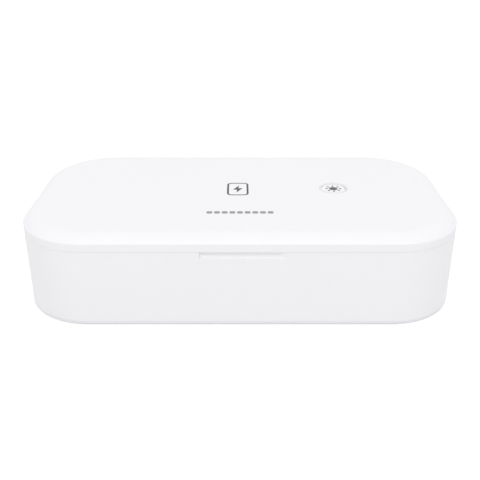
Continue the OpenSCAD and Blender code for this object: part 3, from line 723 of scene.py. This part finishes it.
def chip(shape, low, high):
    """Moulded chip with a pin-one dimple and legs on two sides."""
    gap, leg_pitch, fewest_legs = 0.1 * MM, 1.0 * MM, 3
    mark_r, mark_t = 0.25 * MM, 0.01 * MM
    along = 0 if high.x - low.x >= high.y - low.y else 1
    margin = Vector((LEG_REACH, LEG_REACH, 0))
    margin[along] = gap
    body_low, body_high = low + margin, high - margin
    body_low.z += gap
    block(shape, body_low, body_high, CASE_EDGE, MOULD)
    corner = Vector((body_low.x + 3 * mark_r, body_low.y + 3 * mark_r, high.z))
    disc(shape, corner - Vector((0, 0, mark_t / 2)), mark_r, mark_t, sides=16, material=LEADS)
    count = max(fewest_legs, int((high[along] - low[along]) / leg_pitch))
    gull_legs(shape, low, high, along, count)


def small_part(shape, low, high):
    """Ceramic capacitor with tinned ends."""
    inset, end_w = 0.03 * MM, 0.22 * (high.x - low.x)
    body_inset = Vector((0.9 * end_w, inset, inset))
    block(shape, low + body_inset, high - body_inset, bevel=0.05 * MM, material=CERAMIC)
    for left, right in ((low.x, low.x + end_w), (high.x - end_w, high.x)):
        end_low, end_high = Vector((left, low.y, low.z)), Vector((right, high.y, high.z))
        block(shape, end_low, end_high, bevel=0.08 * MM, material=LEADS)


def choke(shape, low, high):
    """Power choke: a square ferrite block with a drum in a round window, on tinned lugs."""
    stand, drum_r, drum_t = 0.15 * MM, 0.36 * (high.x - low.x), 0.02 * MM
    lug_x, lug_y, lug_z = 0.9 * MM, 0.4 * MM, 0.25 * MM
    middle = (low + high) / 2
    block(shape, low + Vector((0, 0, stand)), high, bevel=0.3 * MM, material=MOULD)
    drum = Vector((middle.x, middle.y, high.z - drum_t / 2))
    disc(shape, drum, drum_r, drum_t, sides=32, material=WINDING)
    for side in (-1, 1):
        edge = middle.y + side * (high.y - low.y) / 2
        a = Vector((middle.x - lug_x, max(edge - lug_y, low.y), low.z))
        b = Vector((middle.x + lug_x, min(edge + lug_y, high.y), low.z + lug_z))
        block(shape, a, b, material=LEADS)


def board_parts(node, name, body):
    """Chips, chokes and capacitors in place of the plain blocks on a board."""
    shape = bmesh.new()
    for low, high in solids_of(node):
        size = high - low
        if size.z > CHOKE_HEIGHT:
            choke(shape, low, high)
        elif min(size.x, size.y) < CHIP_WIDTH:
            small_part(shape, low, high)
        else:
            chip(shape, low, high)
    piece(name, shape, BOARD_MATERIALS, body, [node])


def ring_lamps():
    """White lamps under the light ring, each a pale package with a yellow window."""
    window_r, window_t = 0.42 * MM, 0.02 * MM
    shape = bmesh.new()
    for low, high in solids_of("ring_leds"):
        middle = (low + high) / 2
        block(shape, low, high, LAMP_EDGE)
        window = Vector((middle.x, middle.y, high.z - window_t / 2))
        disc(shape, window, window_r, window_t, sides=20, material=1)
    piece("ring_lamps", shape, [ivory_plastic, phosphor], "lid", ["ring_leds"])


def wire_socket(node, name, body):
    """Wire-to-board socket: a housing with three ribs on each side and four tinned pins."""
    low, high, middle = span(node)
    inset = Vector((0, 0.25 * MM, 0))
    rib = 0.5 * MM
    pins, pitch = 4, 1.25 * MM
    pin = Vector((0.16 * MM, 0.4 * MM, 0.1 * MM))
    shape = bmesh.new()
    block(shape, low + inset, high - inset, CASE_EDGE)
    for x in (low.x + 2 * rib, middle.x, high.x - 2 * rib):
        rib_low = Vector((x - rib / 2, low.y, low.z))
        rib_high = Vector((x + rib / 2, high.y, high.z - rib))
        block(shape, rib_low, rib_high, bevel=0.08 * MM)
    for x in row(middle.x, pins, pitch):
        for y in (low.y + pin.y, high.y - pin.y):
            block_about(shape, Vector((x, y, low.z + pin.z)), pin, material=1)
    piece(name, shape, [ivory_plastic, tin], body, [node])


def hall_sensor():
    """Small board with a three-legged sensor under it."""
    low, high, middle = span("interlock_sensor")
    board_t = 1 * MM
    under = high.z - board_t
    half = Vector((1.5 * MM, 0.8 * MM, 0))
    legs, leg_y = ((-0.95 * MM, -1), (0.95 * MM, -1), (0, 1)), 1.1 * MM
    reach = Vector((0.2 * MM, 0.4 * MM, 0.12 * MM))
    shape = bmesh.new()
    block(shape, Vector((low.x, low.y, under)), high)
    body_low = Vector((middle.x, middle.y, low.z)) - half
    body_high = Vector((middle.x, middle.y, under)) + half
    block(shape, body_low, body_high, CASE_EDGE, material=1)
    for x, side in legs:
        foot = Vector((middle.x + x, middle.y + side * leg_y, under))
        block(shape, foot - reach, foot + Vector((reach.x, reach.y, 0)), material=2)
    materials = [board_green, black_plastic, tin]
    piece("hall_sensor", shape, materials, "base", ["interlock_sensor"])


# Switch, coil and receptacle

def switch_body():
    """Tact switch: a moulded body under a steel cover with four rivets, and four legs."""
    low, high, middle = span("tact_switch")
    centre = middle.to_2d()
    inset = Vector((0.3 * MM, 0.3 * MM, 0))
    half = (high.x - low.x) / 2 - inset.x
    hole_r, sides = 1.65 * MM, 32
    floor_t, cover_t = 0.25 * MM, 0.3 * MM
    floor_z, cover_z = low.z + floor_t, high.z - cover_t
    rivet_x, rivet_r, rivet_t, rivet_sunk = 2.1 * MM, 0.35 * MM, 0.03 * MM, 0.02 * MM
    leg_y, leg = 2.0 * MM, Vector((0.15 * MM, 0.35 * MM, 0.3 * MM))
    shape = bmesh.new()
    outer = [centre + half / max(abs(c), abs(s)) * Vector((c, s)) for c, s in around(sides)]
    inner = circle(centre, hole_r, sides)
    band(shape, outer, inner, floor_z, cover_z)
    band(shape, outer, inner, cover_z, high.z, material=1)
    block(shape, low + inset, Vector((high.x, high.y, floor_z)) - inset)
    for sx, sy in CORNERS:
        rivet = Vector((middle.x + sx * rivet_x, middle.y + sy * rivet_x, high.z - rivet_sunk))
        disc(shape, rivet, rivet_r, rivet_t, sides=16)
        leg_mid = Vector((middle.x + sx * (half + leg.x), middle.y + sy * leg_y, low.z + leg.z))
        block_about(shape, leg_mid, leg, material=1)
    piece("switch_body", shape, [black_plastic, steel], "lid", ["tact_switch"])


# The winding's sizes are those in part.scad
COIL_IN = 9 * MM
COIL_TURNS = 8
COIL_WIRE = 1 * MM
COIL_PITCH = 1.5 * MM


def coil():
    """Litz winding on the same spiral as its CAD solid, round in section."""
    steps, sides = 48, 14
    strands_along, strands_round = 0.5, 6
    centre_z = span("charging_coil")[2].z
    radius = COIL_WIRE / 2
    count = COIL_TURNS * steps
    shape = bmesh.new()
    along_uv = shape.loops.layers.uv.new("along")
    rings = []
    for i in range(count + 1):
        a = math.tau * (i / steps)
        reach = COIL_IN + radius + COIL_PITCH * (i / steps)
        out, up = Vector((math.cos(a), math.sin(a), 0)), Vector((0, 0, 1))
        centre = Vector((pad_mid.x, pad_mid.y, centre_z)) + reach * out
        rings.append([shape.verts.new(centre + radius * (c * out + s * up)) for c, s in around(sides)])
    for i in range(count):
        for k, face in enumerate(bridge(shape, rings[i], rings[i + 1])):
            corners = ((i, k), (i, k + 1), (i + 1, k + 1), (i + 1, k))
            for loop, (u, v) in zip(face.loops, corners):
                loop[along_uv].uv = (u * strands_along, v * strands_round / sides)
    shape.faces.new(rings[0])
    shape.faces.new(list(reversed(rings[-1])))
    piece("litz_coil", shape, [copper], "lid", ["charging_coil"])


def usb_contacts():
    """Tongue of the receptacle with its row of gilded contacts on both faces."""
    low, high, middle = span("usb_tongue")
    count, pitch = 12, 0.5 * MM
    width, length, thick, setback = 0.28 * MM, 3.6 * MM, 0.015 * MM, 0.6 * MM
    mouth = high.y - setback
    shape = bmesh.new()
    block(shape, low, high, CASE_EDGE)
    for x in row(middle.x, count, pitch):
        for z in (low.z, high.z):
            contact_low = Vector((x - width / 2, mouth - length, z - thick))
            contact_high = Vector((x + width / 2, mouth, z + thick))
            block(shape, contact_low, contact_high, material=1)
    piece("usb_contacts", shape, [black_plastic, gold], "base", ["usb_tongue"])


# Floor, light and camera

FLOOR_HALF = 6
FLOOR_PALE = 0.775  # colour of the floor, on which the object's shadow falls
FLOOR_GLOW = 0.4  # what lifts it to white, for the eye and in reflections only
SKY_COLOUR = (0.995, 0.995, 1.0)
SKY = 0.969  # strength of the sky as a light, in front, behind and above
SKY_SIDES = 0.48  # the part of it that is left at the far left and right
KEY_PLACE, KEY_AIM = (0, -1.5, 1.99), (0, 0, 0.03)
KEY_SIZE, KEY_POWER = (1.6, 0.5), 14.3
CAMERA_DISTANCE = 0.3780
CAMERA_ELEVATION = math.radians(25.12)
LENS, SENSOR = 50.7, 36
SHIFT_Y = -0.022
CLIP = (0.01, 50)


def combined(tree, operation, first, second):
    """Result of a calculation with two values."""
    node = tree.nodes.new("ShaderNodeMath")
    node.operation = operation
    link(tree, first, node.inputs[0])
    link(tree, second, node.inputs[1])
    return node.outputs[0]


def seen_directly(tree):
    """1 for camera, glossy and transmission rays, and 0 for the rays that light things."""
    rays = tree.nodes.new("ShaderNodeLightPath")
    value = rays.outputs["Is Camera Ray"]
    for output in ("Is Glossy Ray", "Is Transmission Ray"):
        value = combined(tree, "MAXIMUM", value, rays.outputs[output])
    return value


def make_floor():
    """White sweep under the object, pure white to the eye but for the object's own shadow."""
    shape = bmesh.new()
    plan = ((-1, -1), (1, -1), (1, 1), (-1, 1))
    shape.faces.new([shape.verts.new((x * FLOOR_HALF, y * FLOOR_HALF, 0)) for x, y in plan])
    mesh = bpy.data.meshes.new("floor")
    shape.to_mesh(mesh)
    shape.free()
    floor = bpy.data.objects.new("floor", mesh)
    bpy.context.scene.collection.objects.link(floor)
    material, tree, shader = new_material("white_sweep")
    set_sockets(shader, {
        "Base Color": (FLOOR_PALE, FLOOR_PALE, FLOOR_PALE, 1),
        "Roughness": 0.9,
        "Specular IOR Level": 0,
        "Emission Color": (1, 1, 1, 1),
    })
    glow = remap(tree, seen_directly(tree), low=0, high=FLOOR_GLOW, start=0, end=1)
    link(tree, glow, shader.inputs["Emission Strength"])
    mesh.materials.append(material)


def sky_light(tree):
    """Strength of the sky as a light, which is softer to the left and right."""
    where = tree.nodes.new("ShaderNodeTexCoord")
    split = tree.nodes.new("ShaderNodeSeparateXYZ")
    link(tree, where.outputs["Generated"], split.inputs["Vector"])
    aside = combined(tree, "MULTIPLY", split.outputs["X"], split.outputs["X"])
    return remap(tree, aside, low=SKY, high=SKY * SKY_SIDES, start=0, end=1)


def make_world():
    """Soft sky: white to the eye and in reflections, softer as a light."""
    world = bpy.data.worlds.new("studio")
    bpy.context.scene.world = world
    world.use_nodes = True
    tree = world.node_tree
    background = tree.nodes["Background"]
    background.inputs["Color"].default_value = (*SKY_COLOUR, 1)
    strength = remap(tree, seen_directly(tree), low=SKY, high=1, start=0, end=1)
    link(tree, sky_light(tree), strength.node.inputs["To Min"])
    link(tree, strength, background.inputs["Strength"])


def make_key_light():
    """Wide soft light above and in front of the box."""
    data = bpy.data.lights.new("key", "AREA")
    data.shape = "RECTANGLE"
    data.size, data.size_y = KEY_SIZE
    data.energy = KEY_POWER
    lamp = bpy.data.objects.new("key", data)
    bpy.context.scene.collection.objects.link(lamp)
    lamp.location = KEY_PLACE
    lamp.rotation_euler = (Vector(KEY_AIM) - Vector(KEY_PLACE)).to_track_quat("-Z", "Y").to_euler()


def make_camera():
    """Camera of the photograph: in front of the box, 25 degrees above the table."""
    data = bpy.data.cameras.new("camera")
    data.lens = LENS
    data.sensor_width = SENSOR
    data.shift_y = SHIFT_Y
    data.clip_start, data.clip_end = CLIP
    camera = bpy.data.objects.new("camera", data)
    bpy.context.scene.collection.objects.link(camera)
    aim = Vector((0, body_mid.y, lid_top / 2))
    back = Vector((0, -math.cos(CAMERA_ELEVATION), math.sin(CAMERA_ELEVATION)))
    camera.location = aim + CAMERA_DISTANCE * back
    camera.rotation_euler = (-back).to_track_quat("-Z", "Y").to_euler()
    bpy.context.scene.camera = camera


# The whole scene

charging_mark()
charging_bars()
sun_mark()
lamps("base", 1)
lamps("lid", -1)
screws("bottom_screws", "base_cross_screws", "base", head_t=1.4 * MM)
screws("lid_screws", "lid_cross_screws", "lid", head_t=0.8 * MM)
board_parts("main_board_chips", "main_board_parts", "base")
board_parts("lid_board_chips", "lid_board_parts", "lid")
ring_lamps()
wire_socket("base_cable_socket", "base_wire_socket", "base")
wire_socket("lid_cable_socket", "lid_wire_socket", "lid")
hall_sensor()
switch_body()
coil()
usb_contacts()

make_world()
make_floor()
make_camera()
make_key_light()
bpy.context.scene.view_settings.view_transform = "Standard"
